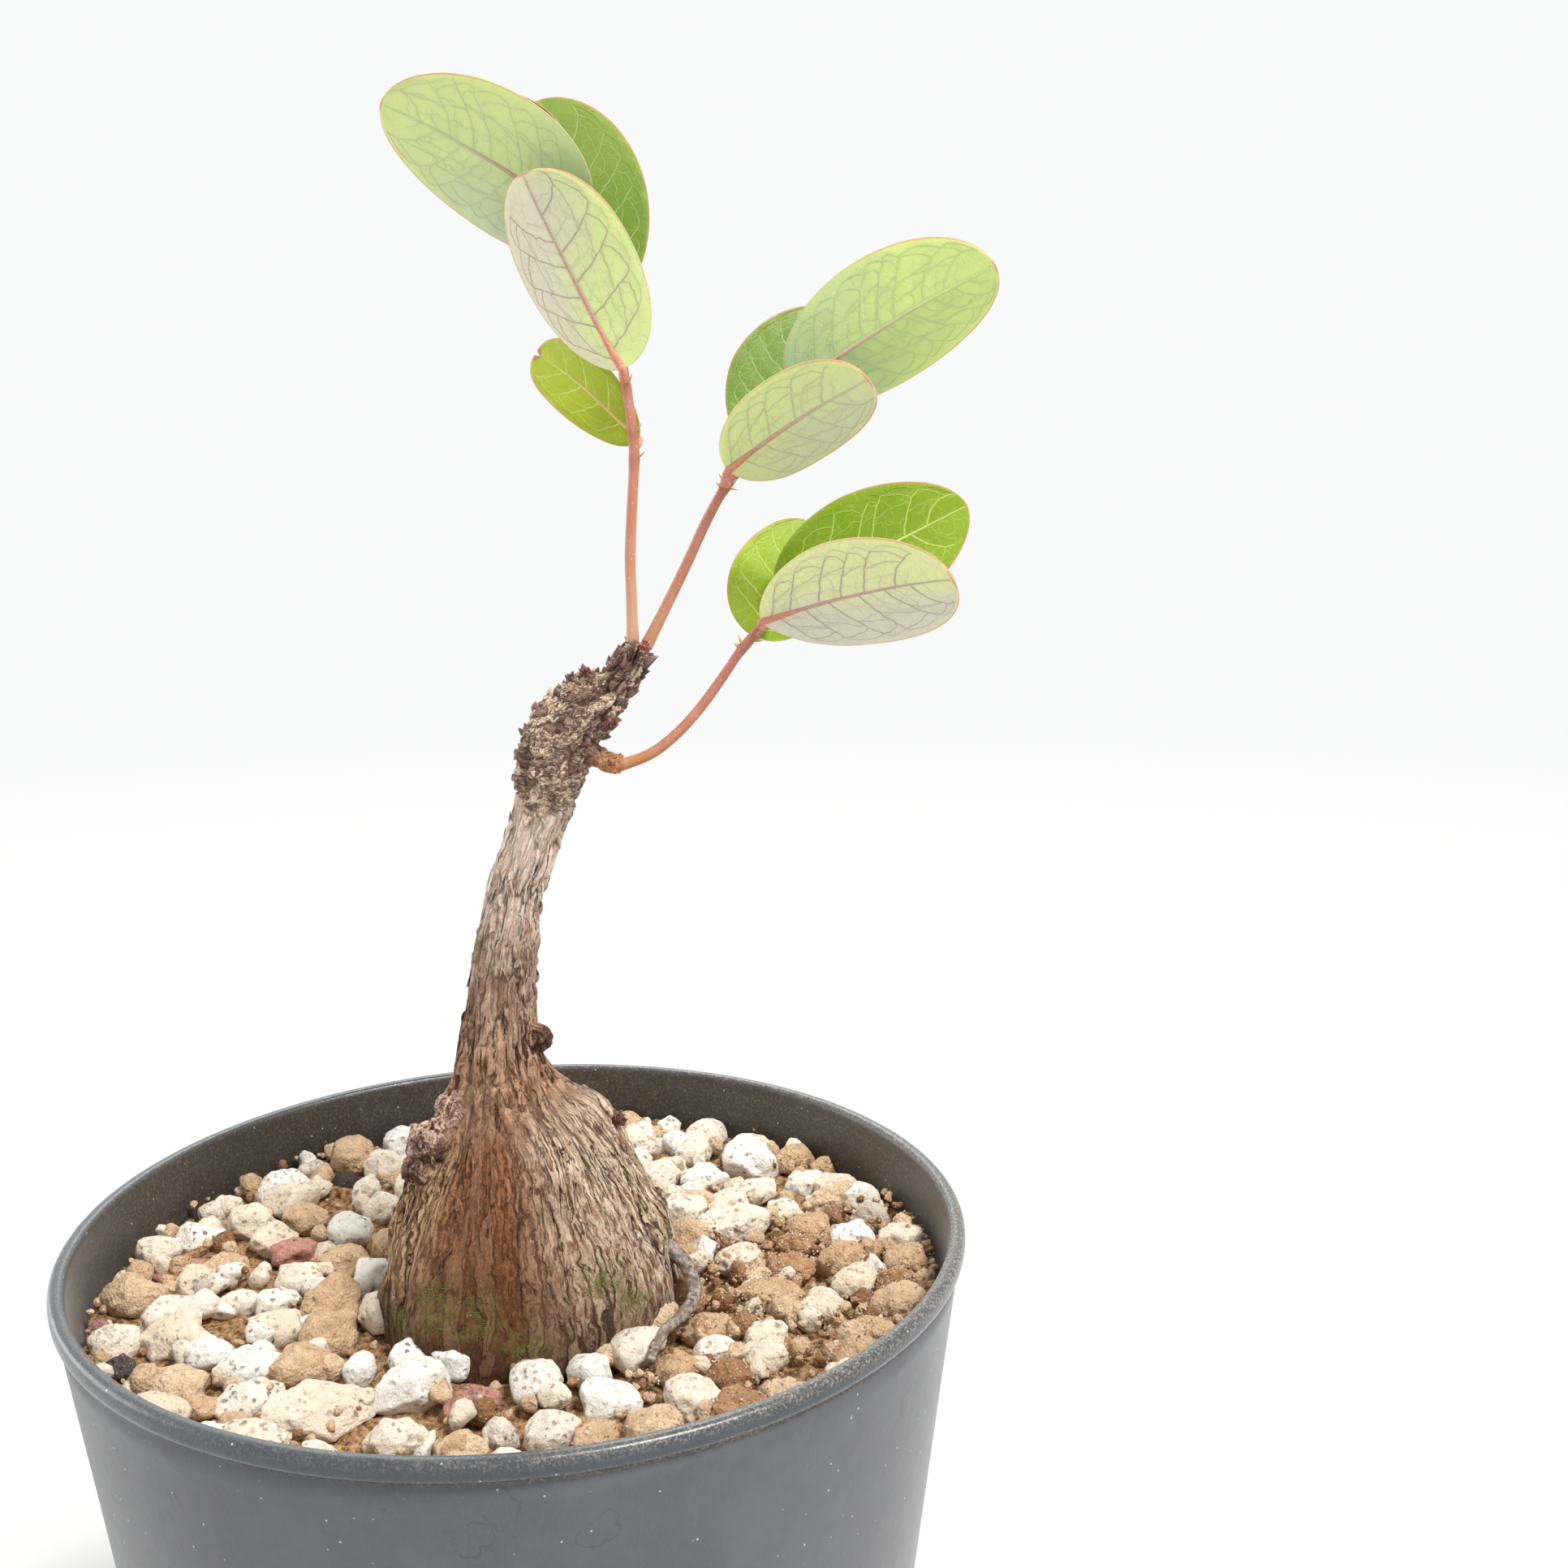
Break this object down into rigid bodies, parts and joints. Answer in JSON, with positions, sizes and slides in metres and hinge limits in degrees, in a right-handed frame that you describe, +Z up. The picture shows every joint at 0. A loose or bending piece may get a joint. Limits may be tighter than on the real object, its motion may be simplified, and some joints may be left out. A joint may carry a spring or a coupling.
{
  "type": "potted phyllanthus",
  "caption": "Caudex plant with a swollen woody base, a leaning trunk and leafy stems, standing in stony potting mix in a round tapered pot.",
  "frame": {"origin": "centre of the pot's flat underside", "axes": "+Z up along the pot's axis; +Y away from the viewer of the picture, +X to the viewer's right"},
  "size_m": [0.1075, 0.105, 0.2221],
  "materials": {
    "pot": "dark grey moulded plastic, dusty, with a tan bloom along the rim",
    "grit": "matt mixed stones: white and cream pumice, tan and brown clay grains, a few red and black bits",
    "bark": "rough fissured grey-brown bark with dark bud scales and moss at its foot",
    "stem": "smooth reddish young stem",
    "leaf": "leathery leaf, bright green above, pale grey-green below, red margin and net of veins"
  },
  "bodies": {
    "root": {"pot": "pot", "grit": "grit", "caudex_trunk": "bark", "stem_left": "stem", "stem_middle": "stem", "stem_right": "stem", "leaf_left_1": "leaf", "leaf_left_2": "leaf", "leaf_left_3": "leaf", "leaf_left_4": "leaf", "leaf_left_5": "leaf", "leaf_middle_1": "leaf", "leaf_middle_2": "leaf", "leaf_middle_3": "leaf", "leaf_right_1": "leaf", "leaf_right_2": "leaf", "leaf_right_3": "leaf"}
  },
  "joints": []
}
